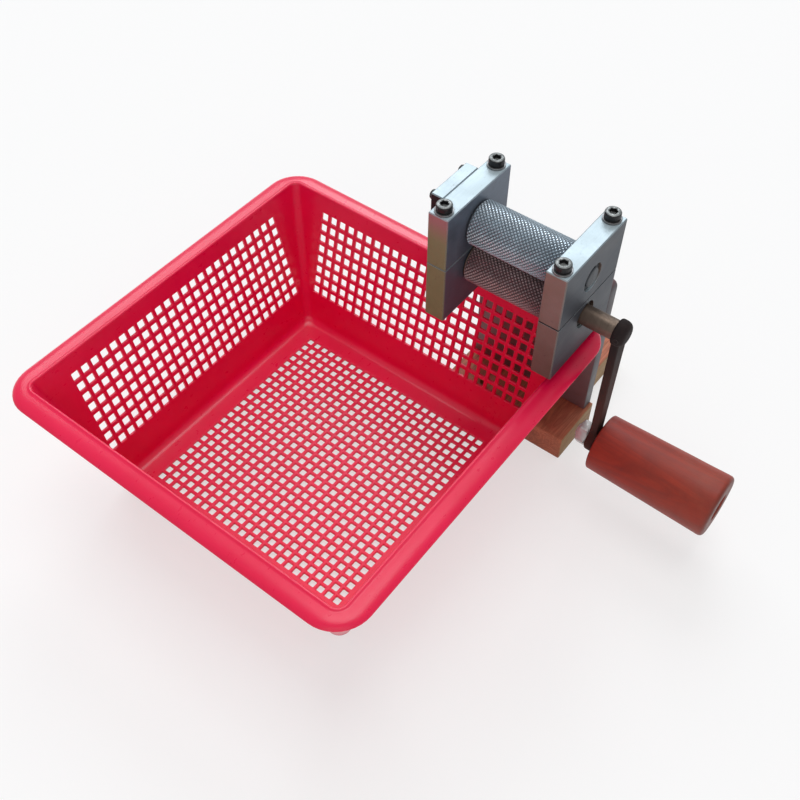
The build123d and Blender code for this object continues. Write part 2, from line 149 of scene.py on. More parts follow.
def pale_floor():
    """A pale floor whose own white softens the shadow for the camera and in reflections."""
    shader, kit = new_material("pale_floor", (0.95, 0.95, 0.95), roughness=0.9)
    rays = kit.add("ShaderNodeLightPath").outputs
    seen = kit.math("MAXIMUM", rays["Is Camera Ray"],
                    kit.math("MAXIMUM", rays["Is Glossy Ray"], rays["Is Transmission Ray"]))
    glow = kit.add("ShaderNodeEmission", {"Color": (0.975, 0.975, 0.975)})
    mix = kit.add("ShaderNodeMixShader", {
        "Fac": kit.times(seen, FLOOR_GLOW), 1: shader.outputs["BSDF"], 2: glow.outputs["Emission"]})
    kit.put(kit.tree.nodes["Material Output"], "Surface", mix.outputs["Shader"])


def make_floor():
    mesh = bpy.data.meshes.new("floor")
    corners = [(x * FLOOR_REACH, y * FLOOR_REACH, 0) for x, y in ((-1, -1), (1, -1), (1, 1), (-1, 1))]
    mesh.from_pydata(corners, [], [(0, 1, 2, 3)])
    pale_floor()
    mesh.materials.append(materials["pale_floor"])
    floor = new_object("floor", mesh)
    floor.location.z = -FLOOR_GAP


# ---- Material helpers ----------------------------------------------------

class Tree:
    """Short calls for one node tree."""

    def __init__(self, tree):
        self.tree = tree

    def add(self, kind, inputs=None, **settings):
        node = self.tree.nodes.new(kind)
        for key, value in settings.items():
            setattr(node, key, value)
        for key, value in (inputs or {}).items():
            self.put(node, key, value)
        return node

    def put(self, node, key, value):
        """Gives an input a constant, or links another node's output to it."""
        socket = node.inputs[key]
        if isinstance(value, bpy.types.NodeSocket):
            self.tree.links.new(value, socket)
        else:
            socket.default_value = (*value, 1) if socket.type == "RGBA" else value

    def math(self, operation, first, second=0.0, third=0.0, clamp=False):
        node = self.add("ShaderNodeMath", {0: first, 1: second, 2: third}, operation=operation, use_clamp=clamp)
        return node.outputs[0]

    def times(self, first, second, clamp=False):
        return self.math("MULTIPLY", first, second, clamp=clamp)

    def line(self, value, slope, start, clamp=False):
        """A value times a slope, plus a start."""
        return self.math("MULTIPLY_ADD", value, slope, start, clamp)

    def ramp(self, value, low, high):
        """0 up to the low value, 1 from the high one, and a straight line between."""
        return self.line(value, 1 / (high - low), low / (low - high), clamp=True)

    def mix(self, share, first, second, blend="MIX"):
        node = self.add("ShaderNodeMix", data_type="RGBA", blend_type=blend)
        for socket, value in zip((0, 6, 7), (share, first, second)):
            self.put(node, socket, value)
        return node.outputs[2]

    def noise(self, vector, scale, detail=3.0, roughness=0.5, distortion=0.0):
        node = self.add("ShaderNodeTexNoise", {
            "Vector": vector, "Scale": scale, "Detail": detail,
            "Roughness": roughness, "Distortion": distortion})
        return node.outputs["Fac"]

    def place(self, kind="Object"):
        return self.add("ShaderNodeTexCoord").outputs[kind]

    def parts(self, kind):
        """The X, Y and Z of the Object coordinates or of the Normal."""
        return self.add("ShaderNodeSeparateXYZ", {0: self.place(kind)}).outputs

    def stretched(self, stretch):
        """Object coordinates, stretched."""
        return self.add("ShaderNodeMapping", {"Vector": self.place(), "Scale": stretch}).outputs["Vector"]


materials = {}                     # each material by the name that it was asked for


def new_material(name, colour, roughness=0.5, metallic=0.0):
    """Starts a material and returns its main shader with the calls for its tree."""
    material = materials[name] = bpy.data.materials.new(name)
    material.use_nodes = True
    kit = Tree(material.node_tree)
    shader = material.node_tree.nodes["Principled BSDF"]
    for key, value in (("Base Color", colour), ("Roughness", roughness), ("Metallic", metallic)):
        kit.put(shader, key, value)
    return shader, kit


def shade(colour, factor):
    return tuple(min(1, part * factor) for part in colour)


def new_group(name, sockets_in, sockets_out):
    """A shader group with named sockets: (name, kind, default) going in, (name, kind) coming out."""
    tree = bpy.data.node_groups.new(name, "ShaderNodeTree")
    for socket, kind, default in sockets_in:
        made = tree.interface.new_socket(name=socket, in_out="INPUT", socket_type=f"NodeSocket{kind}")
        made.default_value = default
    for socket, kind in sockets_out:
        tree.interface.new_socket(name=socket, in_out="OUTPUT", socket_type=f"NodeSocket{kind}")
    kit = Tree(tree)
    return kit, kit.add("NodeGroupInput"), kit.add("NodeGroupOutput")


def make_edge_wear():
    """Edge mask and softened normal, from how far a rounded normal leaves the true one."""
    kit, given, out = new_group(
        "edge_wear",
        [("Width", "Float", 0.6 * MM), ("Breakup", "Float", 600.0)],
        [("Mask", "Float"), ("Normal", "Vector")])
    soft = kit.add("ShaderNodeBevel", {"Radius": given.outputs["Width"]}, samples=6)
    true = kit.add("ShaderNodeNewGeometry").outputs["Normal"]
    match = kit.add("ShaderNodeVectorMath", {0: soft.outputs["Normal"], 1: true}, operation="DOT_PRODUCT")
    bend = kit.math("SUBTRACT", 1.0, match.outputs["Value"])
    place = kit.place()
    patchy = kit.noise(place, given.outputs["Breakup"], detail=4.0)
    worn = kit.times(kit.times(bend, 9.0), kit.math("ADD", patchy, 0.25), clamp=True)
    kit.put(out, "Mask", worn)
    kit.put(out, "Normal", soft.outputs["Normal"])
    return kit.tree


def make_grime():
    """Patches of dirt and sap, as a mask from 0 to 1."""
    kit, given, out = new_group(
        "grime",
        [("Scale", "Float", 60.0), ("Cover", "Float", 0.5), ("Sharpness", "Float", 6.0)],
        [("Mask", "Float")])
    place = kit.place()
    wide = kit.noise(place, given.outputs["Scale"], detail=5.0, roughness=0.62, distortion=0.6)
    start = kit.math("SUBTRACT", wide, kit.math("SUBTRACT", 1.0, given.outputs["Cover"]))
    mask = kit.line(start, given.outputs["Sharpness"], 0.5, clamp=True)
    kit.put(out, "Mask", mask)
    return kit.tree


def make_fine_lines():
    """Fine parallel tool marks; Stretch is small along the marks and large across them."""
    kit, given, out = new_group(
        "fine_lines",
        [("Stretch", "Vector", (1.0, 1.0, 1.0)), ("Scale", "Float", 900.0)],
        [("Lines", "Float"), ("Scratches", "Float")])
    place = kit.place()
    mapping = kit.add("ShaderNodeVectorMath", {0: place, 1: given.outputs["Stretch"]}, operation="MULTIPLY")
    vector = mapping.outputs["Vector"]
    lines = kit.noise(vector, given.outputs["Scale"], detail=3.0, roughness=0.6)
    sparse = kit.noise(vector, kit.times(given.outputs["Scale"], 0.35), detail=2.0)
    kit.put(out, "Lines", lines)
    kit.put(out, "Scratches", kit.math("GREATER_THAN", sparse, 0.68))
    return kit.tree


shared = {"edge_wear": make_edge_wear(), "grime": make_grime(), "fine_lines": make_fine_lines()}


def use(kit, name, **inputs):
    """Places a shared effect in a material, with this material's own values."""
    node = kit.add("ShaderNodeGroup", node_tree=shared[name])
    for key, value in inputs.items():
        kit.put(node, key, value)
    return node.outputs


def bump(kit, shader, height, distance, normal=None, strength=1.0):
    node = kit.add("ShaderNodeBump", {"Strength": strength, "Distance": distance, "Height": height})
    if normal is not None:
        kit.put(node, "Normal", normal)
    kit.put(shader, "Normal", node.outputs["Normal"])


# ---- Materials -----------------------------------------------------------

block_low, block_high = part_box("upper_block_right")
BLOCK_INNER, BLOCK_OUTER, PARTING_Z = block_low.x, block_high.x, block_low.z
ROLLER_Y = middle_of("lower_roller").y
LOWER_Z = middle_of("lower_roller").z
UPPER_Z = middle_of("upper_roller").z
ROLLER_RADIUS = 12.5 * MM
KNURL_HEIGHT = 0.62 * MM
VALLEY = ROLLER_RADIUS - KNURL_HEIGHT   # radius where the knurl stands


def machined_metal(name, bright, dark, stretch, roughness=0.42, metallic=0.85, cover=0.45,
                   stain=(0.12, 0.09, 0.075)):
    """A cut metal face: tool marks, stains in patches and bright worn edges."""
    shader, kit = new_material(name, bright, roughness, metallic)
    edge = use(kit, "edge_wear", Width=0.5 * MM)
    marks = use(kit, "fine_lines", Stretch=stretch)
    dirt = use(kit, "grime", Scale=70.0, Cover=cover, Sharpness=3.0)
    body = kit.mix(marks["Lines"], dark, bright)
    stained = kit.mix(kit.times(dirt["Mask"], 0.55), body, stain)
    edged = kit.mix(kit.times(edge["Mask"], 0.5), stained, shade(bright, 1.25))
    kit.put(shader, "Base Color", edged)
    rough = kit.line(dirt["Mask"], 0.22, roughness - 0.06)
    kit.put(shader, "Roughness", kit.line(marks["Lines"], 0.14, rough))
    height = kit.math("SUBTRACT", marks["Lines"], kit.times(marks["Scratches"], 0.6))
    bump(kit, shader, height, 0.03 * MM, edge["Normal"], 0.6)


def block_aluminium():
    """Sawn and milled bar, with painted light: tops painted bright as lit from above, faces below them painted
    dark as shade and darker lower down, fronts tinted brown, olive and pink as painted reflections.
    """
    shader, kit = new_material("block_aluminium", (0.6, 0.7, 0.76), 0.4, 0.5)
    edge = use(kit, "edge_wear", Width=0.35 * MM)
    marks = use(kit, "fine_lines", Stretch=(0.9, 0.06, 0.9), Scale=1400.0)
    cast = use(kit, "grime", Scale=45.0, Cover=0.5, Sharpness=2.2)
    spots = use(kit, "grime", Scale=420.0, Cover=0.33, Sharpness=9.0)
    normal, where = kit.parts("Normal"), kit.parts("Object")
    # Painted light: faces turned up take the lit top colour. Sides are painted shade, darker lower down, and
    # the left block's sides are painted lighter than the right's.
    lit_from_above = kit.math("POWER", kit.math("MAXIMUM", normal["Z"], 0.0), 2.0)
    forward = kit.math("MAXIMUM", kit.times(normal["Y"], -1.0), 0.0)
    height = kit.ramp(where["Z"], 108 * MM, 168 * MM)
    leftward = kit.math("LESS_THAN", where["X"], 0.0)
    top = kit.mix(marks["Lines"], (0.4, 0.5, 0.55), (0.55, 0.65, 0.7))
    shade_side_low = kit.mix(cast["Mask"], (0.05, 0.065, 0.09), (0.1, 0.11, 0.13))
    shade_side_high = kit.mix(cast["Mask"], (0.06, 0.07, 0.085), (0.12, 0.145, 0.175))
    lit = kit.mix(leftward, (0.6, 0.6, 0.62), (1.6, 1.65, 1.75))
    side = kit.mix(1.0, kit.mix(height, shade_side_low, shade_side_high), lit, "MULTIPLY")
    # Painted reflection and shade: front faces are tinted brown on the right block and olive to pink on the
    # left, darker lower down.
    right_low = kit.mix(cast["Mask"], (0.12, 0.1, 0.075), (0.18, 0.135, 0.12))
    right_high = kit.mix(cast["Mask"], (0.22, 0.17, 0.14), (0.32, 0.24, 0.22))
    left_high = kit.mix(kit.ramp(where["Z"], 152 * MM, 164 * MM), (0.24, 0.26, 0.14), (0.38, 0.18, 0.19))
    left_low = kit.mix(cast["Mask"], (0.15, 0.2, 0.085), (0.22, 0.27, 0.13))
    front = kit.mix(leftward, kit.mix(height, right_low, right_high), kit.mix(height, left_low, left_high))
    # Painted shade: the gear cover's front face is near black.
    on_cover = kit.math("LESS_THAN", where["X"], -BLOCK_OUTER - 0.1 * MM)
    front = kit.mix(on_cover, front, (0.012, 0.01, 0.012))
    from_parting = kit.math("ABSOLUTE", kit.math("SUBTRACT", where["Z"], PARTING_Z))
    parting = kit.math("LESS_THAN", from_parting, 0.45 * MM)
    shadowed = kit.times(parting, kit.line(leftward, -0.5, 1.0))
    body = kit.mix(lit_from_above, kit.mix(forward, side, front), top)
    spotted = kit.mix(kit.times(spots["Mask"], 0.3), body, (0.05, 0.04, 0.045))
    worn = kit.times(edge["Mask"], kit.line(parting, -0.25, 0.25))
    edged = kit.mix(worn, spotted, (0.6, 0.66, 0.7))
    kit.put(shader, "Base Color", kit.mix(shadowed, edged, (0.02, 0.018, 0.018)))
    kit.put(shader, "Metallic", kit.line(parting, -0.4, 0.4))
    rough = kit.line(cast["Mask"], 0.18, 0.34)
    rough = kit.math("MAXIMUM", rough, parting)
    kit.put(shader, "Roughness", kit.line(marks["Lines"], 0.12, rough))
    relief = kit.math("SUBTRACT", marks["Lines"], spots["Mask"])
    bump(kit, shader, relief, 0.04 * MM, edge["Normal"], 0.6)


def knurled_steel(name, bright, dark, groove, axis_z):
    """Knurled bar: bright worn crests, and grooves darkened by distance from the axis as painted shade in the
    recesses, with dirt patches besides.
    """
    shader, kit = new_material(name, bright, 0.32, 0.85)
    marks = use(kit, "fine_lines", Scale=700.0)
    dirt = use(kit, "grime", Scale=120.0, Cover=0.45, Sharpness=2.5)
    place = kit.place()
    from_axis = kit.add("ShaderNodeVectorMath", {0: place, 1: (0, ROLLER_Y, axis_z)}, operation="SUBTRACT")
    across = kit.add("ShaderNodeVectorMath", {0: from_axis.outputs["Vector"], 1: (0, 1, 1)},
                     operation="MULTIPLY")
    reach = kit.add("ShaderNodeVectorMath", {0: across.outputs["Vector"]}, operation="LENGTH").outputs["Value"]
    # Painted shade: the grooves darken with depth below the crests.
    crest = kit.ramp(reach, VALLEY, ROLLER_RADIUS)
    body = kit.mix(marks["Lines"], dark, bright)
    dirty = kit.mix(kit.times(dirt["Mask"], 0.4), body, groove)
    kit.put(shader, "Base Color", kit.mix(kit.math("POWER", crest, 0.7), groove, dirty))
    kit.put(shader, "Roughness", kit.line(crest, -0.3, 0.58))
    bump(kit, shader, marks["Lines"], 0.02 * MM, strength=0.5)


def forged_crank():
    """Forged and oiled steel: scale black at the hub, rust brown down the arm where hands wear it."""
    shader, kit = new_material("crank_steel", (0.03, 0.02, 0.02), 0.55)
    edge = use(kit, "edge_wear", Width=0.6 * MM)
    patch = use(kit, "grime", Scale=90.0, Cover=0.5, Sharpness=2.0)
    pits = use(kit, "grime", Scale=700.0, Cover=0.4, Sharpness=5.0)
    where = kit.parts("Object")
    height = kit.ramp(where["Z"], 70 * MM, 120 * MM)
    brown = kit.mix(patch["Mask"], (0.045, 0.02, 0.017), (0.09, 0.034, 0.026))
    black = kit.mix(patch["Mask"], (0.012, 0.009, 0.01), (0.032, 0.02, 0.018))
    body = kit.mix(height, brown, black)
    kit.put(shader, "Base Color", kit.mix(kit.times(edge["Mask"], 0.3), body, (0.2, 0.16, 0.15)))
    kit.put(shader, "Roughness", kit.line(patch["Mask"], 0.15, 0.58))
    kit.put(shader, "Specular IOR Level", 0.15)
    bump(kit, shader, pits["Mask"], 0.06 * MM, edge["Normal"], 0.5)


def oxide_screw():
    """Black oxide on a cap screw: its top face grey, partly rubbed wear and mostly a painted highlight from
    above, near black down its side and in its socket as painted shade.
    """
    shader, kit = new_material("oxide_screw", (0.1, 0.1, 0.1), 0.36, 0.5)
    edge = use(kit, "edge_wear", Width=0.3 * MM)
    dirt = use(kit, "grime", Scale=300.0, Cover=0.45, Sharpness=3.0)
    normal = kit.parts("Normal")
    # Painted light: faces turned up get the grey top colour, the rest stays near black as shade.
    lit_from_above = kit.math("POWER", kit.math("MAXIMUM", normal["Z"], 0.0), 4.0)
    worn = kit.mix(dirt["Mask"], (0.3, 0.32, 0.32), (0.13, 0.14, 0.14))
    body = kit.mix(lit_from_above, (0.018, 0.018, 0.02), worn)
    edged = kit.mix(kit.times(edge["Mask"], 0.35), body, (0.3, 0.31, 0.32))
    kit.put(shader, "Base Color", edged)
    kit.put(shader, "Roughness", kit.line(dirt["Mask"], 0.2, 0.3))
    bump(kit, shader, dirt["Mask"], 0.03 * MM, edge["Normal"], 0.5)


def moulded_red():
    """Injection-moulded plastic: satin skin, faint mottling and fine scuffs."""
    shader, kit = new_material("moulded_red", (0.74, 0.004, 0.06), 0.3)
    edge = use(kit, "edge_wear", Width=0.5 * MM)
    mottle = use(kit, "grime", Scale=22.0, Cover=0.5, Sharpness=1.6)
    scuff = use(kit, "fine_lines", Stretch=(0.5, 0.22, 0.5), Scale=700.0)
    body = kit.mix(mottle["Mask"], (0.78, 0.0, 0.05), (0.9, 0.004, 0.075))
    pale = kit.mix(kit.times(edge["Mask"], 0.06), body, (0.85, 0.1, 0.17))
    kit.put(shader, "Base Color", pale)
    kit.put(shader, "Roughness", kit.line(scuff["Lines"], 0.16, 0.22))
    kit.put(shader, "Specular IOR Level", 0.4)
    kit.put(shader, "Coat Weight", 0.35)
    kit.put(shader, "Coat Roughness", 0.2)
    kit.put(shader, "Subsurface Weight", 0.08)
    kit.put(shader, "Subsurface Radius", (1.0, 0.25, 0.2))
    kit.put(shader, "Subsurface Scale", 1.5 * MM)
    bump(kit, shader, scuff["Lines"], 0.02 * MM, edge["Normal"], 0.5)


def wood(name, light, dark, along, ring_scale, roughness, coat=0.0, grime_cover=0.4, stain=(0.05, 0.02, 0.015),
         side=None, pore=0.45, relief=0.12 * MM, faded=None):
    """Sawn or turned wood with growth rings, pores and handling marks; the grain runs along one axis."""
    shader, kit = new_material(name, light, roughness)
    edge = use(kit, "edge_wear", Width=0.8 * MM)
    grain, pore_grain = ([share if axis == along else 1.0 for axis in "XYZ"] for share in (0.07, 0.03))
    rings = kit.noise(kit.stretched(grain), ring_scale, detail=4.0, roughness=0.55, distortion=1.4)
    figure = kit.math("PINGPONG", kit.math("FRACT", kit.times(rings, 7.0)), 0.5)
    pores = kit.noise(kit.stretched(pore_grain), 1500.0, detail=2.0)
    dark_pore = kit.math("GREATER_THAN", pores, 0.62)
    body = kit.mix(kit.times(figure, 2.0), dark, light)
    if side:
        normal = kit.parts("Normal")
        sawn = kit.mix(figure, side, shade(side, 0.7))
        body = kit.mix(kit.math("ABSOLUTE", normal["X"]), body, sawn)
    lined = kit.mix(kit.times(dark_pore, pore), body, shade(dark, 0.55))
    dirt = use(kit, "grime", Scale=55.0, Cover=grime_cover, Sharpness=3.0)
    dirty = kit.mix(kit.times(dirt["Mask"], 0.5), lined, stain)
    if faded:
        colour, start, end = faded
        along_it = kit.ramp(kit.parts("Object")[along], start, end)
        patches = use(kit, "grime", Scale=38.0, Cover=0.5, Sharpness=2.5)
        share = kit.times(along_it, kit.line(patches["Mask"], 0.45, 0.12))
        dirty = kit.mix(share, dirty, colour)
    kit.put(shader, "Base Color", kit.mix(kit.times(edge["Mask"], 0.3), dirty, shade(light, 1.6)))
    kit.put(shader, "Roughness", kit.line(figure, 0.2, roughness))
    kit.put(shader, "Coat Weight", coat)
    kit.put(shader, "Specular IOR Level", 0.35)
    kit.put(shader, "Coat Roughness", 0.45)
    height = kit.math("SUBTRACT", figure, kit.times(dark_pore, 0.8))
    bump(kit, shader, height, relief, edge["Normal"], 0.5)


def painted_plate():
    """Thin brown primer over steel, rubbed through at the edges, with its side faces painted near black as
    shade.
    """
    shader, kit = new_material("plate_primer", (0.24, 0.1, 0.1), 0.5)
    edge = use(kit, "edge_wear", Width=0.5 * MM)
    patch = use(kit, "grime", Scale=38.0, Cover=0.5, Sharpness=2.0)
    rust = use(kit, "grime", Scale=150.0, Cover=0.34, Sharpness=8.0)
    body = kit.mix(patch["Mask"], (0.15, 0.08, 0.085), (0.22, 0.12, 0.125))
    rusty = kit.mix(kit.times(rust["Mask"], 0.5), body, (0.2, 0.07, 0.035))
    rubbed = kit.times(edge["Mask"], 0.15)
    normal = kit.parts("Normal")
    body = kit.mix(rubbed, rusty, (0.35, 0.33, 0.32))
    # Painted shade: the plate's side faces, facing along X, are near black.
    side_painted_shade = kit.math("POWER", kit.math("ABSOLUTE", normal["X"]), 2.0)
    kit.put(shader, "Base Color", kit.mix(side_painted_shade, body, (0.05, 0.045, 0.055)))
    kit.put(shader, "Metallic", rubbed)
    kit.put(shader, "Roughness", kit.line(patch["Mask"], 0.2, 0.4))
    bump(kit, shader, kit.math("ADD", patch["Mask"], rust["Mask"]), 0.05 * MM,
         edge["Normal"], 0.5)


block_aluminium()
moulded_red()
painted_plate()
oxide_screw()
forged_crank()
wood("board_wood", (0.54, 0.18, 0.1), (0.34, 0.095, 0.055), "Y", 90.0, 0.55,
     side=(0.36, 0.22, 0.09), stain=(0.2, 0.08, 0.04))
wood("grip_wood", (0.36, 0.026, 0.009), (0.27, 0.018, 0.007), "X", 45.0, 0.45, coat=0.1,
     grime_cover=0.42, stain=(0.13, 0.01, 0.008), side=(0.1, 0.011, 0.006),
     faded=((0.3, 0.085, 0.05), 80 * MM, 140 * MM), pore=0.12, relief=0.04 * MM)
# Lit and shaded copies of one knurled steel: the upper roller painted bright as lit, the lower painted darker
# and pink as shade and a painted reflection of the red basket.
knurled_steel("knurl_lit", (0.72, 0.86, 0.96), (0.46, 0.56, 0.64), (0.16, 0.17, 0.19), UPPER_Z)
knurled_steel("knurl_shaded", (0.6, 0.47, 0.48), (0.36, 0.26, 0.27), (0.12, 0.075, 0.08), LOWER_Z)
machined_metal("shaft_steel", (0.3, 0.23, 0.18), (0.15, 0.11, 0.085), (1.0, 0.1, 0.1),
               roughness=0.32, cover=0.5)
# Painted shade: dark blue-grey like the shaded outer block face, on the upper roller's bar and journal end.
machined_metal("stub_steel", (0.1, 0.115, 0.135), (0.055, 0.06, 0.07), (1.0, 0.1, 0.1),
               roughness=0.4, metallic=0.4, cover=0.5, stain=(0.03, 0.03, 0.03))
machined_metal("gear_steel", (0.45, 0.45, 0.45), (0.25, 0.25, 0.26), (0.2, 1, 1))
machined_metal("black_screw", (0.07, 0.075, 0.075), (0.02, 0.02, 0.02), (1, 1, 1),
               roughness=0.34, metallic=0.7, cover=0.35)
machined_metal("washer_steel", (0.3, 0.31, 0.32), (0.14, 0.14, 0.15), (1, 1, 1),
               roughness=0.36, metallic=0.8, cover=0.4)
machined_metal("zinc_steel", (0.46, 0.39, 0.24), (0.28, 0.23, 0.14), (1, 1, 1),
               roughness=0.4, cover=0.4, stain=(0.15, 0.1, 0.05))
machined_metal("bright_zinc", (0.6, 0.63, 0.62), (0.48, 0.5, 0.49), (1, 1, 1),
               roughness=0.36, metallic=0.45, cover=0.25, stain=(0.3, 0.3, 0.29))
# Painted shade: the bronze is coloured near black for the shade in the recessed bores.
machined_metal("bush_bronze", (0.06, 0.045, 0.034), (0.022, 0.016, 0.013), (0.1, 1, 1),
               roughness=0.4, cover=0.5, stain=(0.02, 0.015, 0.01))


# ---- Mesh helpers --------------------------------------------------------

def finish_piece(name, mesh, body, slot, *replaced, material=None, smooth_angle=None):
    """Puts a mesh in the scene as a named piece that rides on a body."""
    piece = new_object(name, mesh)
    if material:
        mesh.materials.clear()
        mesh.materials.append(materials[material])
    if smooth_angle is not None:
        mesh.shade_smooth()
        mesh.set_sharp_from_angle(angle=radians(smooth_angle))
    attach(piece, body)
    if replaced:
        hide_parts(*replaced)
    return piece


def evaluated(name, mesh, *modifiers):
    """The mesh that a stack of modifiers makes, as plain data. A modifier is (kind, settings)."""
    worker = new_object(name, mesh)
    for kind, settings in modifiers:
        modifier = worker.modifiers.new(kind.lower(), kind)
        inputs = settings.pop("inputs", {})
        for key, value in settings.items():
            setattr(modifier, key, value)
        for socket, value in inputs.items():
            item = modifier.node_group.interface.items_tree[socket]
            modifier[item.identifier] = value
    graph = bpy.context.evaluated_depsgraph_get()
    result = bpy.data.meshes.new_from_object(worker.evaluated_get(graph))
    bpy.data.objects.remove(worker)
    result.name = name
    return result


def bevel(width, segments=2):
    return ("BEVEL", {"width": width, "segments": segments,
                      "limit_method": "ANGLE", "angle_limit": radians(50)})


def skin(name, loops, wrap=False):
    """A surface through loops with as many points each, wrapped round a hole or capped at both ends."""
    count, last = len(loops[0]), len(loops) - 1
    points = [tuple(point) for loop in loops for point in loop]
    faces = []
    for here in range(last + 1 if wrap else last):
        there = (here + 1) % (last + 1)
        for step in range(count):
            after = (step + 1) % count
            faces.append((here * count + step, here * count + after,
                          there * count + after, there * count + step))
    if not wrap:
        faces.append(tuple(reversed(range(count))))
        faces.append(tuple(range(last * count, (last + 1) * count)))
    mesh = bpy.data.meshes.new(name)
    mesh.from_pydata(points, [], faces)
    tidy_normals(mesh)
    return mesh


def tidy_normals(mesh, weld=0.002 * MM):
    work = bmesh.new()
    work.from_mesh(mesh)
    bmesh.ops.remove_doubles(work, verts=work.verts, dist=weld)
    bmesh.ops.dissolve_degenerate(work, edges=work.edges, dist=weld)
    bmesh.ops.recalc_face_normals(work, faces=work.faces)
    work.to_mesh(mesh)
    work.free()


def polygon_reach(radius, angle, sides=6):
    """How far a polygon with its corners at the radius reaches at an angle."""
    sector = 2 * pi / sides
    return radius * cos(sector / 2) / cos((angle % sector) - sector / 2)


def ring_x(radius, x, y, z, steps=64, hexagon=False):
    """A loop round an X axis: a circle, or a hexagon with its corners at the radius."""
    loop = []
    for step in range(steps):
        angle = 2 * pi * step / steps
        reach = polygon_reach(radius, angle) if hexagon else radius
        loop.append(Vector((x, y + reach * cos(angle), z + reach * sin(angle))))
    return loop


def ring_z(z, steps, reach):
    """A loop round the Z axis at a height; reach gives its radius from the step and the angle."""
    loop = []
    for step in range(steps):
        angle = 2 * pi * step / steps
        far = reach(step, angle)
        loop.append(Vector((far * cos(angle), far * sin(angle), z)))
    return loop


def turned_x(name, profile, y, z, steps=64):
    """A solid of revolution round an X axis, from (x, radius) pairs in metres."""
    return skin(name, [ring_x(radius, x, y, z, steps) for x, radius in profile])


def rounded(corner_from, corner, corner_to, radius, steps=4):
    """Points of a rounded corner in a profile, between its two neighbours."""
    corner, first, last = Vector(corner), Vector(corner_from), Vector(corner_to)
    start = corner + (first - corner).normalized() * radius
    end = corner + (last - corner).normalized() * radius
    points = []
    for step in range(steps + 1):
        share = step / steps
        bend = start.lerp(corner, share).lerp(corner.lerp(end, share), share)
        points.append(tuple(bend))
    return points


def eased(profile, radii, steps=4):
    """A profile whose inner corners are rounded by the radii given for them, 0 for a sharp one."""
    points = [tuple(profile[0])]
    for index in range(1, len(profile) - 1):
        radius = radii[index - 1]
        if radius:
            points += rounded(profile[index - 1], profile[index], profile[index + 1], radius, steps)
        else:
            points.append(tuple(profile[index]))
    points.append(tuple(profile[-1]))
    return points


# ---- Geometry Nodes: raised or pierced cells, and copies ------------------

def new_geometry_tree(name, sockets):
    """A geometry tree with its own named inputs: (name, kind, default)."""
    tree = bpy.data.node_groups.new(name, "GeometryNodeTree")
    tree.interface.new_socket(name="Geometry", in_out="INPUT", socket_type="NodeSocketGeometry")
    for socket, kind, default in sockets:
        made = tree.interface.new_socket(name=socket, in_out="INPUT", socket_type=f"NodeSocket{kind}")
        if default is not None:
            made.default_value = default
    tree.interface.new_socket(name="Geometry", in_out="OUTPUT", socket_type="NodeSocketGeometry")
    kit = Tree(tree)
    return kit, kit.add("NodeGroupInput"), kit.add("NodeGroupOutput")


def make_cells_tree():
    """Each marked face becomes a smaller copy of itself, raised on sloping sides or cut away."""
    kit, given, out = new_geometry_tree("cells", [
        ("Share", "Float", 0.6), ("Height", "Float", 0.0), ("Cut Away", "Bool", False),
        ("Material", "Material", None)])
    marked = kit.add("GeometryNodeInputNamedAttribute", {"Name": "cell"}, data_type="INT")
    raised = kit.add("GeometryNodeExtrudeMesh", {
        "Mesh": given.outputs["Geometry"], "Selection": marked.outputs["Attribute"],
        "Offset Scale": given.outputs["Height"], "Individual": True}, mode="FACES")
    scaled = kit.add("GeometryNodeScaleElements", {
        "Geometry": raised.outputs["Mesh"], "Selection": raised.outputs["Top"],
        "Scale": given.outputs["Share"]}, domain="FACE")
    drop = kit.add("FunctionNodeBooleanMath", {
        0: raised.outputs["Top"], 1: given.outputs["Cut Away"]}, operation="AND")
    cut = kit.add("GeometryNodeDeleteGeometry", {
        "Geometry": scaled.outputs["Geometry"], "Selection": drop.outputs["Boolean"]}, domain="FACE")
    real = kit.add("GeometryNodeRealizeInstances", {"Geometry": cut.outputs["Geometry"]})
    coated = kit.add("GeometryNodeSetMaterial", {
        "Geometry": real.outputs["Geometry"], "Material": given.outputs["Material"]})
    kit.put(out, "Geometry", coated.outputs["Geometry"])
    return kit.tree


def make_copies_tree():
    """A piece set at each point, turned about an axis by a seeded random angle."""
    kit, given, out = new_geometry_tree("copies", [
        ("Piece", "Object", None), ("Axis", "Vector", (0, 0, 1)), ("Turn", "Float", 2 * pi),
        ("Seed", "Int", 0), ("Material", "Material", None)])
    info = kit.add("GeometryNodeObjectInfo", {"Object": given.outputs["Piece"], "As Instance": True})
    angle = kit.add("FunctionNodeRandomValue", {"Seed": given.outputs["Seed"]}, data_type="FLOAT")
    kit.tree.links.new(given.outputs["Turn"], angle.inputs[3])
    turn = kit.add("FunctionNodeAxisAngleToRotation", {
        "Axis": given.outputs["Axis"], "Angle": angle.outputs[1]})
    placed = kit.add("GeometryNodeInstanceOnPoints", {
        "Points": given.outputs["Geometry"], "Instance": info.outputs["Geometry"],
        "Rotation": turn.outputs["Rotation"]})
    real = kit.add("GeometryNodeRealizeInstances", {"Geometry": placed.outputs["Instances"]})
    coated = kit.add("GeometryNodeSetMaterial", {
        "Geometry": real.outputs["Geometry"], "Material": given.outputs["Material"]})
    kit.put(out, "Geometry", coated.outputs["Geometry"])
    return kit.tree


cells_tree = make_cells_tree()
copies_tree = make_copies_tree()


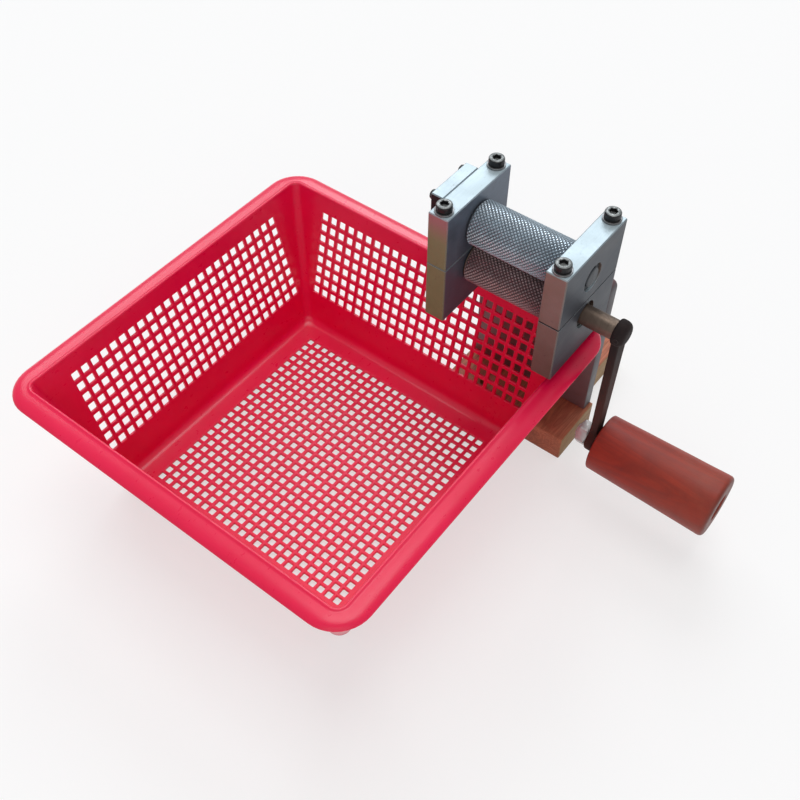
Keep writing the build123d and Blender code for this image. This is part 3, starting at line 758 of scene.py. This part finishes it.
def copies_at(name, pattern, places, axis, material, seed):
    """Copies of one mesh at a list of places, as a single plain mesh."""
    master = new_object(name + "_master", pattern)
    points = bpy.data.meshes.new(name + "_places")
    points.from_pydata([tuple(place) for place in places], [], [])
    settings = {"node_group": copies_tree, "inputs": {
        "Piece": master, "Axis": axis, "Seed": seed, "Material": materials[material]}}
    mesh = evaluated(name, points, ("NODES", settings))
    bpy.data.objects.remove(master)
    return mesh


# ---- Catch basket --------------------------------------------------------

RIM_WIDTH = 9.5 * MM
WALL = 2 * MM
DRAFT = radians(14.3)
RIM_CORNER = 20 * MM
TUB_CORNER = 7 * MM
FLOOR_EDGE = 7 * MM
FOOT_RING = 2 * MM
HOLE_COLUMNS = 24
HOLE_ROWS = 8
WALL_FIELD_HALF = 81.9 * MM
FLOOR_FIELD_HALF = 70 * MM
FIELD_BELOW_RIM = 10.3 * MM
ROW_PITCH = 7.42 * MM
HOLE_SHARE = 0.67
CORNER_STEPS = 10
FOOT_HALF = 75 * MM
FOOT_WIDTH = 2.5 * MM
FOOT_CORNER = 6 * MM

basket_low, basket_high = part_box("basket")
BASKET_X, BASKET_Y = middle_of("basket").xy
RIM_HALF = (basket_high.x - basket_low.x) / 2
RIM_TOP = basket_high.z


def rounded_square(half, corner, z, field_half, columns):
    """A loop with field points along each side and a round corner after each."""
    loop = []
    for quarter in range(4):
        turn = Matrix.Rotation(quarter * pi / 2, 3, "Z")
        side = [Vector((x, -half, z)) for x in (
            -half + corner,
            *(-field_half + 2 * field_half * step / columns for step in range(columns + 1)),
            half - corner)]
        arc = []
        for step in range(1, CORNER_STEPS):
            angle = -pi / 2 + (pi / 2) * step / CORNER_STEPS
            arc.append(Vector((half - corner + corner * cos(angle), -half + corner + corner * sin(angle), z)))
        for point in side + arc:
            placed = turn @ point
            loop.append(Vector((BASKET_X + placed.x, BASKET_Y + placed.y, placed.z)))
    return loop


def tub_half(z):
    """Half the tub's outside width at a height."""
    return RIM_HALF - RIM_WIDTH - (RIM_TOP - z) * tan(DRAFT)


def tub_loops():
    """The tub's outside, from under the rim down its walls and in over the floor's edge."""
    field_top = RIM_TOP - FIELD_BELOW_RIM
    heights = [RIM_TOP - 1.2 * MM] + [field_top - row * ROW_PITCH for row in range(HOLE_ROWS + 1)]
    loops = [rounded_square(tub_half(z), TUB_CORNER, z, WALL_FIELD_HALF, HOLE_COLUMNS) for z in heights]
    edge_top = FOOT_RING + FLOOR_EDGE
    steps = 5
    for step in range(steps + 1):
        angle = (pi / 2) * step / steps
        z = edge_top - FLOOR_EDGE * sin(angle)
        half = tub_half(edge_top) - FLOOR_EDGE * (1 - cos(angle))
        share = (step + 1) / (steps + 2)
        field = WALL_FIELD_HALF + (FLOOR_FIELD_HALF - WALL_FIELD_HALF) * share
        loops.append(rounded_square(half, TUB_CORNER, z, min(field, half - TUB_CORNER), HOLE_COLUMNS))
    loops.append(rounded_square(FLOOR_FIELD_HALF, 0, FOOT_RING, FLOOR_FIELD_HALF, HOLE_COLUMNS))
    return loops


def make_tub():
    """The tub's walls and floor: one skin whose marked cells are pierced, then given its wall."""
    loops = tub_loops()
    count = len(loops[0])
    side_points = HOLE_COLUMNS + 3 + CORNER_STEPS - 1
    work = bmesh.new()
    cell = work.faces.layers.int.new("cell")
    rings = [[work.verts.new(point) for point in loop] for loop in loops]
    for level in range(len(rings) - 1):
        for step in range(count):
            after = (step + 1) % count
            face = work.faces.new((rings[level][step], rings[level][after],
                                   rings[level + 1][after], rings[level + 1][step]))
            column = step % side_points
            face[cell] = 1 <= column <= HOLE_COLUMNS and 1 <= level <= HOLE_ROWS
    pitch = 2 * FLOOR_FIELD_HALF / HOLE_COLUMNS
    grid = [[work.verts.new((BASKET_X - FLOOR_FIELD_HALF + i * pitch, BASKET_Y - FLOOR_FIELD_HALF + j * pitch,
                             FOOT_RING)) for i in range(HOLE_COLUMNS + 1)] for j in range(HOLE_COLUMNS + 1)]
    for j in range(HOLE_COLUMNS):
        for i in range(HOLE_COLUMNS):
            face = work.faces.new((grid[j][i], grid[j + 1][i], grid[j + 1][i + 1], grid[j][i + 1]))
            face[cell] = 1
    bmesh.ops.remove_doubles(work, verts=work.verts, dist=0.05 * MM)
    bmesh.ops.recalc_face_normals(work, faces=work.faces)
    mesh = bpy.data.meshes.new("tub")
    work.to_mesh(mesh)
    work.free()
    settings = {"node_group": cells_tree, "inputs": {
        "Share": HOLE_SHARE, "Cut Away": True, "Material": materials["moulded_red"]}}
    return evaluated(
        "basket_tub", mesh,
        ("NODES", settings),
        ("SOLIDIFY", {"thickness": WALL, "offset": -1.0, "use_even_offset": True}),
        bevel(0.38 * MM, segments=1))


def make_rim():
    """The rim: a bead along its inner edge, falling away outwards to a lip, and hollow underneath."""
    inner = RIM_WIDTH + WALL + 0.3 * MM
    section = [
        (inner, -2.6), (inner + 0.15 * MM, -1.5), (inner - 0.05 * MM, -0.55), (inner - 0.45 * MM, -0.1),
        (inner - 1.0 * MM, 0.0), (inner - 1.5 * MM, -0.12), (inner - 2.0 * MM, -0.42), (8.8 * MM, -0.5),
        (7.4 * MM, -0.52), (6.0 * MM, -0.62), (4.6 * MM, -0.82), (3.3 * MM, -1.12), (2.1 * MM, -1.52),
        (1.1 * MM, -2.02), (0.4 * MM, -2.5), (0.05 * MM, -2.9), (0.0, -3.2), (0.3 * MM, -3.5), (1.2 * MM, -3.5),
        (1.8 * MM, -3.2), (3.0 * MM, -2.75), (5.0 * MM, -2.4), (RIM_WIDTH, -2.3), (RIM_WIDTH + 1.0 * MM, -2.8),
    ]
    loops = []
    for inset, drop in section:
        corner = RIM_CORNER + (TUB_CORNER - WALL - RIM_CORNER) * inset / (RIM_WIDTH + WALL)
        loops.append(rounded_square(RIM_HALF - inset, corner, RIM_TOP + drop * MM, RIM_HALF * 0.6, 6))
    return skin("basket_rim", loops, wrap=True)


def make_foot_ring():
    """The ring under the floor that the basket stands on."""
    ease = 0.5 * MM
    root = FOOT_RING + 0.4 * MM
    section = [(0, root), (0, ease), (ease, 0), (FOOT_WIDTH - ease, 0), (FOOT_WIDTH, ease), (FOOT_WIDTH, root)]
    loops = [rounded_square(FOOT_HALF - inset, FOOT_CORNER - inset, z, FOOT_HALF * 0.6, 4)
             for inset, z in section]
    return skin("basket_foot", loops, wrap=True)


def build_basket():
    finish_piece("basket_tub", make_tub(), "basket_body", "red_plastic", "basket", smooth_angle=35)
    for name, mesh in (("basket_rim", make_rim()), ("basket_foot", make_foot_ring())):
        finish_piece(name, mesh, "basket_body", "red_plastic", material="moulded_red", smooth_angle=50)


# ---- Rollers -------------------------------------------------------------

JOURNAL_RADIUS = 5.5 * MM
SPIGOT_RADIUS = 4.0 * MM
SPIGOT_SHORT = 1.6 * MM             # how far it ends below the hub's dome
KNURLS_ROUND = 34
KNURLS_ALONG = 24
ROLLER_END_PLAIN = 1.0 * MM
ROLLER_HALF = BLOCK_INNER - 0.4 * MM      # half a roller's thick part, which stops short of the blocks
COLLAR = ROLLER_HALF - ROLLER_END_PLAIN   # half the knurled length


def make_knurl(name, axis_z, finish):
    """Diamonds wound round a cylinder, each raised to a flat-topped pyramid."""
    work = bmesh.new()
    cell = work.faces.layers.int.new("cell")
    points = {}

    def point(around, along):
        key = (around % (2 * KNURLS_ROUND), along)
        if key not in points:
            angle = pi * around / KNURLS_ROUND
            x = -COLLAR + COLLAR * along / KNURLS_ALONG
            points[key] = work.verts.new((x, ROLLER_Y + VALLEY * cos(angle), axis_z + VALLEY * sin(angle)))
        return points[key]

    last = 2 * KNURLS_ALONG
    for along in range(last + 1):
        for around in range((along + 1) % 2, 2 * KNURLS_ROUND, 2):
            corners = [point(around - 1, along), point(around, along - 1) if along else None,
                       point(around + 1, along), point(around, along + 1) if along < last else None]
            face = work.faces.new([corner for corner in corners if corner])
            face[cell] = 1
    bmesh.ops.recalc_face_normals(work, faces=work.faces)
    outward = sum(face.normal.dot(Vector((0, face.calc_center_median().y - ROLLER_Y,
                                          face.calc_center_median().z - axis_z))) for face in work.faces)
    if outward < 0:
        bmesh.ops.reverse_faces(work, faces=work.faces)
    mesh = bpy.data.meshes.new(name)
    work.to_mesh(mesh)
    work.free()
    settings = {"node_group": cells_tree, "inputs": {
        "Share": 0.34, "Height": KNURL_HEIGHT, "Cut Away": False, "Material": materials[finish]}}
    return evaluated(name, mesh, ("NODES", settings))


def roller_core(name, axis_z, right_end):
    """The bar that a roller is turned from: journals, plain end collars and the knurl's valley."""
    valley = VALLEY - 0.05 * MM
    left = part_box(name)[0].x
    ease = 0.5 * MM
    collar_radius = ROLLER_RADIUS - ease
    profile = [
        (left, JOURNAL_RADIUS - ease), (left + ease, JOURNAL_RADIUS),
        (-ROLLER_HALF, JOURNAL_RADIUS), (-ROLLER_HALF, collar_radius - ease),
        (-ROLLER_HALF + ease, collar_radius), (-COLLAR, collar_radius), (-COLLAR, valley),
        (COLLAR, valley), (COLLAR, collar_radius), (ROLLER_HALF - ease, collar_radius),
        (ROLLER_HALF, collar_radius - ease), (ROLLER_HALF, JOURNAL_RADIUS)] + right_end
    return turned_x(name + "_core", profile, ROLLER_Y, axis_z, 72)


def build_rollers():
    arm_x, hub_end = (corner.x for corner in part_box("crank_arm"))
    ease = 0.5 * MM
    spigot_end = hub_end - SPIGOT_SHORT
    shaft_end = [(arm_x, JOURNAL_RADIUS), (arm_x, SPIGOT_RADIUS), (spigot_end - ease, SPIGOT_RADIUS),
                 (spigot_end, SPIGOT_RADIUS - ease)]
    stub_end = [(BLOCK_OUTER - ease, JOURNAL_RADIUS), (BLOCK_OUTER, JOURNAL_RADIUS - ease)]
    rollers = (("lower", LOWER_Z, "crank", shaft_end, "shaft_steel", "knurl_shaded"),
               ("upper", UPPER_Z, "upper_roller_body", stub_end, "stub_steel", "knurl_lit"))
    for name, axis_z, body, right_end, steel, _ in rollers:
        node = name + "_roller"
        finish_piece(node + "_bar", roller_core(node, axis_z, right_end), body, "roller_steel", node,
                     material=steel, smooth_angle=40)
    for name, axis_z, body, _, _, finish in rollers:
        name += "_knurl"
        finish_piece(name, make_knurl(name, axis_z, finish), body, "roller_steel")


# ---- Crank and grip ------------------------------------------------------

ARM_WIDTH_TOP = 9.5 * MM
ARM_WIDTH_BOTTOM = 8 * MM
ARM_THICKNESS = 5.5 * MM
HUB_RADIUS = 7.2 * MM
BAR_BEHIND = 0.3 * MM              # the bar is thinner than hub and eye, on both faces
BAR_BEFORE = 0.7 * MM
GRIP_INNER_RADIUS = 16.8 * MM
GRIP_BORE = 5.15 * MM
GRIP_RECESS = (5 * MM, 7.9 * MM)   # depth and radius, round the pin's head
GRIP_DENT = 0.25 * MM
NUT_BORE = 4.1 * MM
NUT_CHAMFER = 0.9 * MM


def make_crank():
    """A forged arm: domed hub, tapering bar and eye, blended into one by remeshing."""
    low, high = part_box("crank_arm")
    inner_x, outer_x = low.x, low.x + ARM_THICKNESS
    grip_z = middle_of("grip").z
    eye_radius = (high.y - low.y) / 2
    bore = 0.2 * MM
    work = bmesh.new()

    def add(mesh):
        work.from_mesh(mesh)
        bpy.data.meshes.remove(mesh)

    hub_profile = eased([(inner_x, bore), (inner_x, HUB_RADIUS), (high.x, HUB_RADIUS), (high.x, bore)],
                        (1.2 * MM, 4.6 * MM), 8)
    add(turned_x("hub", hub_profile, ROLLER_Y, LOWER_Z, 48))
    eye_profile = eased([(inner_x, bore), (inner_x, eye_radius), (outer_x, eye_radius), (outer_x, bore)],
                        (1.2 * MM, 1.2 * MM), 4)
    add(turned_x("eye", eye_profile, ROLLER_Y, grip_z, 48))
    bar = []
    for z, width in ((LOWER_Z, ARM_WIDTH_TOP), (grip_z, ARM_WIDTH_BOTTOM)):
        near, far = inner_x + BAR_BEHIND, outer_x - BAR_BEFORE
        corners = [(near, -width / 2), (far, -width / 2), (far, width / 2), (near, width / 2)]
        bar.append([Vector((x, ROLLER_Y + y, z)) for x, y in corners])
    add(skin("bar", bar))
    mesh = bpy.data.meshes.new("crank")
    work.to_mesh(mesh)
    work.free()
    return evaluated(
        "crank_forging", mesh,
        ("REMESH", {"mode": "VOXEL", "voxel_size": 0.4 * MM, "use_smooth_shade": True}),
        ("SMOOTH", {"factor": 0.5, "iterations": 6}))


def make_grip():
    """The turned grip, lightly dented, with its bore and the recess for the pin's head."""
    low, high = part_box("grip")
    _, y, z = middle_of("grip")
    length, outer = high.x - low.x, (high.z - low.z) / 2
    depth, mouth = GRIP_RECESS
    corners = [(low.x, GRIP_BORE), (low.x, GRIP_INNER_RADIUS), (high.x, outer), (high.x, mouth),
               (high.x - depth, mouth), (high.x - depth, GRIP_BORE)]
    profile = eased(corners, (0.9 * MM, 3.0 * MM, 0.6 * MM, 0), 6)
    cut = next(i for i, (x, _) in enumerate(profile) if x > low.x + 20 * MM)
    shares = [step / 24 for step in range(3, 22)]
    profile[cut:cut] = [(low.x + length * share, GRIP_INNER_RADIUS + (outer - GRIP_INNER_RADIUS) * share)
                        for share in shares]
    mesh = skin("grip_turning", [ring_x(radius, x, y, z, 96) for x, radius in profile], wrap=True)
    for vertex in mesh.vertices:
        away = Vector((0, vertex.co.y - y, vertex.co.z - z))
        if away.length > 10 * MM:
            dent = noise.noise(Vector((vertex.co.x * 45, vertex.co.y * 60, vertex.co.z * 60)))
            vertex.co -= away.normalized() * max(0.0, dent) * GRIP_DENT
    return mesh


def make_nut():
    """The plated hexagon nut behind the eye, its corners chamfered at both faces."""
    low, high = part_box("grip_nut")
    _, y, z = middle_of("grip_nut")
    corner = max(high.y - low.y, high.z - low.z) / 2
    section = [(NUT_BORE, low.x, False), (corner * 0.82, low.x, False), (corner, low.x + NUT_CHAMFER, True),
               (corner, high.x - NUT_CHAMFER, True), (corner * 0.82, high.x, False), (NUT_BORE, high.x, False)]
    loops = [ring_x(radius, x, y, z, 48, hexagon) for radius, x, hexagon in section]
    return skin("grip_nut_cut", loops, wrap=True)


def build_crank():
    finish_piece("crank_forging", make_crank(), "crank", "forged_steel", "crank_arm",
                 material="crank_steel")
    finish_piece("grip_turning", make_grip(), "grip_body", "grip_wood", "grip", material="grip_wood",
                 smooth_angle=40)
    finish_piece("grip_nut_cut", make_nut(), "crank", "gear_steel", "grip_nut", material="bright_zinc",
                 smooth_angle=30)


# ---- Base board, back plate and foot angle --------------------------------

TAIL_HALF = 30 * MM
ANGLE_HALF = 28 * MM
BENCH_HOLE = (20 * MM, 35 * MM)
BENCH_HOLE_RADIUS = 2.75 * MM
PLATE_CORNER = 5 * MM
ANGLE_THICKNESS = 4 * MM
ANGLE_TOE = 2.5 * MM
ANGLE_ROOT = 4 * MM


def prism(name, outline, first, last, axes):
    """A solid with a flat outline pushed along one axis; axes gives the outline's two and then that one."""
    loops = []
    for depth in (first, last):
        loop = []
        for along, across in outline:
            point = Vector((0, 0, 0))
            for axis, value in zip(axes, (along, across, depth)):
                point[axis] = value
            loop.append(point)
        loops.append(loop)
    return skin(name, loops)


def make_board():
    """The board: full width in front under the plate, narrower behind it, with four bench holes."""
    low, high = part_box("base_board")
    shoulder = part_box("back_plate")[1].y
    outline = [(low.x, low.y), (high.x, low.y), (high.x, shoulder), (TAIL_HALF, shoulder), (TAIL_HALF, high.y),
               (-TAIL_HALF, high.y), (-TAIL_HALF, shoulder), (low.x, shoulder)]
    drills = bmesh.new()
    for x in (-BENCH_HOLE[0], BENCH_HOLE[0]):
        for y in (-BENCH_HOLE[1], BENCH_HOLE[1]):
            rod = [[point + Vector((x, y, 0)) for point in ring_z(z, 32, lambda step, angle: BENCH_HOLE_RADIUS)]
                   for z in (-MM, high.z + MM)]
            hole = skin("hole", rod)
            drills.from_mesh(hole)
            bpy.data.meshes.remove(hole)
    cutter_mesh = bpy.data.meshes.new("bench_holes")
    drills.to_mesh(cutter_mesh)
    drills.free()
    cutter = new_object("bench_holes", cutter_mesh)
    mesh = evaluated("board_cut", prism("board", outline, low.z, high.z, (0, 1, 2)),
                     ("BOOLEAN", {"object": cutter, "operation": "DIFFERENCE", "solver": "EXACT"}),
                     bevel(0.7 * MM))
    bpy.data.objects.remove(cutter)
    return mesh


def make_plate():
    """The steel plate behind the blocks, flush with their outer faces, its upper corners rounded."""
    low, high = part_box("back_plate")
    half = BLOCK_OUTER
    outline = [(-half, low.z), (half, low.z)]
    outline += rounded((half, low.z), (half, high.z), (-half, high.z), PLATE_CORNER, 6)
    outline += rounded((half, high.z), (-half, high.z), (-half, low.z), PLATE_CORNER, 6)
    return evaluated("plate_cut", prism("plate", outline, low.y, high.y, (0, 2, 1)), bevel(0.6 * MM))


def make_angle():
    """Rolled steel angle, with a round inner corner and rounded toes."""
    low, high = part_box("foot_angle")
    inner_y, inner_z = low.y + ANGLE_THICKNESS, low.z + ANGLE_THICKNESS
    outline = [(low.y, low.z), (high.y, low.z)]
    outline += rounded((high.y, low.z), (high.y, inner_z), (inner_y, inner_z), ANGLE_TOE)
    outline += rounded((high.y, inner_z), (inner_y, inner_z), (inner_y, high.z), ANGLE_ROOT, 6)
    outline += rounded((inner_y, inner_z), (inner_y, high.z), (low.y, high.z), ANGLE_TOE)
    outline += [(low.y, high.z)]
    return evaluated("angle_cut", prism("angle", outline, -ANGLE_HALF, ANGLE_HALF, (1, 2, 0)), bevel(0.4 * MM))


def build_base():
    for name, make, slot, node, finish in (
            ("board_cut", make_board, "base_wood", "base_board", "board_wood"),
            ("plate_cut", make_plate, "dark_steel", "back_plate", "plate_primer"),
            ("angle_cut", make_angle, "zinc_steel", "foot_angle", "zinc_steel")):
        finish_piece(name, make(), "frame", slot, node, material=finish, smooth_angle=30)


# ---- Screws --------------------------------------------------------------

def socket_screw(radius, height, socket, depth, shank, length):
    """A cap screw at the origin, head up: fluted side, eased rim and a six-sided socket."""
    flute, ease = 0.12 * MM, height * 0.12

    def circle(reach, z, groove=0.0):
        return ring_z(z, 72, lambda step, angle: reach if step % 3 else reach - groove)

    def hexagon(reach, z):
        return ring_z(z, 72, lambda step, angle: polygon_reach(reach, angle))

    return skin("socket_screw", [
        circle(shank, -length), circle(shank, 0), circle(radius - 0.1 * MM, 0), circle(radius, 0.2 * MM, flute),
        circle(radius, height * 0.68, flute), circle(radius, height - ease * 1.8),
        circle(radius - ease * 0.6, height - ease * 0.7), circle(radius - ease * 1.6, height - 0.1 * MM),
        circle(socket * 1.12, height), hexagon(socket, height - 0.25 * MM), hexagon(socket, height - depth),
        circle(socket * 0.3, height - depth * 1.12)])


def hex_head(radius, height, shank, length):
    """A hexagon bolt at the origin, head up, its corners chamfered and a washer face below."""
    face = radius * 0.83

    def circle(reach, z):
        return ring_z(z, 48, lambda step, angle: reach)

    def hexagon(reach, z):
        return ring_z(z, 48, lambda step, angle: min(reach, polygon_reach(radius, angle)))

    return skin("hex_head", [
        circle(shank, -length), circle(shank, 0), circle(face, 0), circle(face, 0.3 * MM),
        hexagon(radius * 0.97, 0.3 * MM), hexagon(radius * 1.02, 0.9 * MM),
        hexagon(radius * 1.02, height - 0.7 * MM), hexagon(face, height), circle(face * 0.5, height)])


def crossed_screw(radius, height, shank, length):
    """A pan-head screw at the origin, head up, with a cross recess."""

    def circle(reach, z):
        return ring_z(z, 48, lambda step, angle: reach)

    def cross(reach, z, arm):
        def far(step, angle):
            quarter = (angle + pi / 4) % (pi / 2) - pi / 4
            return min(reach, arm / max(abs(sin(quarter)), 1e-6))
        return ring_z(z, 48, far)

    return skin("crossed_screw", [
        circle(shank, -length), circle(shank, 0), circle(radius, 0), circle(radius, height * 0.35),
        circle(radius * 0.88, height * 0.75), circle(radius * 0.62, height),
        cross(radius * 0.6, height, 0.18 * radius), cross(radius * 0.3, height * 0.35, 0.15 * radius)])


def turned(mesh, axis):
    """Turns a screw made head up so that its head points along another axis."""
    mesh.transform(Vector((0, 0, 1)).rotation_difference(Vector(axis)).to_matrix().to_4x4())
    return mesh


def screw_places(node, axis, head_height):
    """Where each screw's head starts: the middle of its box across the axis, its end less the head along it."""
    direction = Vector(axis)
    places = []
    for low, high in islands_of(node):
        middle = (low + high) / 2
        end = max(low.dot(direction), high.dot(direction)) - head_height
        places.append(middle - direction * (middle.dot(direction) - end))
    return places


def set_screws(node, screw, axis, head_height, slot, finish, seed):
    """One piece of turned copies in place of a node's screws, each set where the solid's head starts."""
    name = node + "_cut"
    mesh = copies_at(name, screw, screw_places(node, axis, head_height), axis, finish, seed)
    finish_piece(name, mesh, "frame", slot, node, smooth_angle=30)


def build_screws():
    up, back, left = (0, 0, 1), (0, 1, 0), (-1, 0, 0)
    cap = socket_screw(radius=4.25 * MM, height=4.1 * MM, socket=2.3 * MM, depth=2.4 * MM, shank=2.5 * MM,
                       length=8 * MM)
    set_screws("clamp_screws", cap, up, 5 * MM, "black_steel", "oxide_screw", seed=3)
    head = 3.5 * MM
    bolt = turned(hex_head(radius=4.6 * MM, height=head, shank=2.5 * MM, length=6 * MM), back)
    for node in ("block_bolts", "angle_bolts"):
        set_screws(node, bolt.copy(), back, head, "zinc_steel", "zinc_steel", seed=5)
    head = 2.4 * MM
    screw = crossed_screw(radius=4.5 * MM, height=head, shank=2.2 * MM, length=5 * MM)
    set_screws("wood_screws", screw, up, head, "zinc_steel", "zinc_steel", seed=2)
    head = 1.8 * MM
    screw = turned(crossed_screw(radius=2.7 * MM, height=head, shank=1.5 * MM, length=5 * MM), left)
    set_screws("cover_screws", screw, left, head, "black_steel", "black_screw", seed=8)


# ---- Finishes of the carried-over nodes ----------------------------------

FINISHES = {
    "clamp_washers": "washer_steel", "grip_washer": "washer_steel",
    "gear_cover": "block_aluminium",
    "lower_gear": "gear_steel", "upper_gear": "gear_steel",
    "lower_gear_key": "gear_steel", "upper_gear_key": "gear_steel",
    "crank_cross_pin": "crank_steel",
    "grip_pin": "bright_zinc",
    "upper_bush_right": "stub_steel",
}


def dress_nodes():
    for name, node in nodes.items():
        kind = "block_aluminium" if "_block_" in name else "bush_bronze" if "_bush_" in name else None
        finish = FINISHES.get(name, kind)
        if finish:
            node.data.materials.clear()
            node.data.materials.append(materials[finish])


make_camera()
make_world()
make_suns()
make_floor()
build_basket()
build_rollers()
build_crank()
build_base()
build_screws()
dress_nodes()

bpy.context.scene.view_settings.view_transform = "Standard"
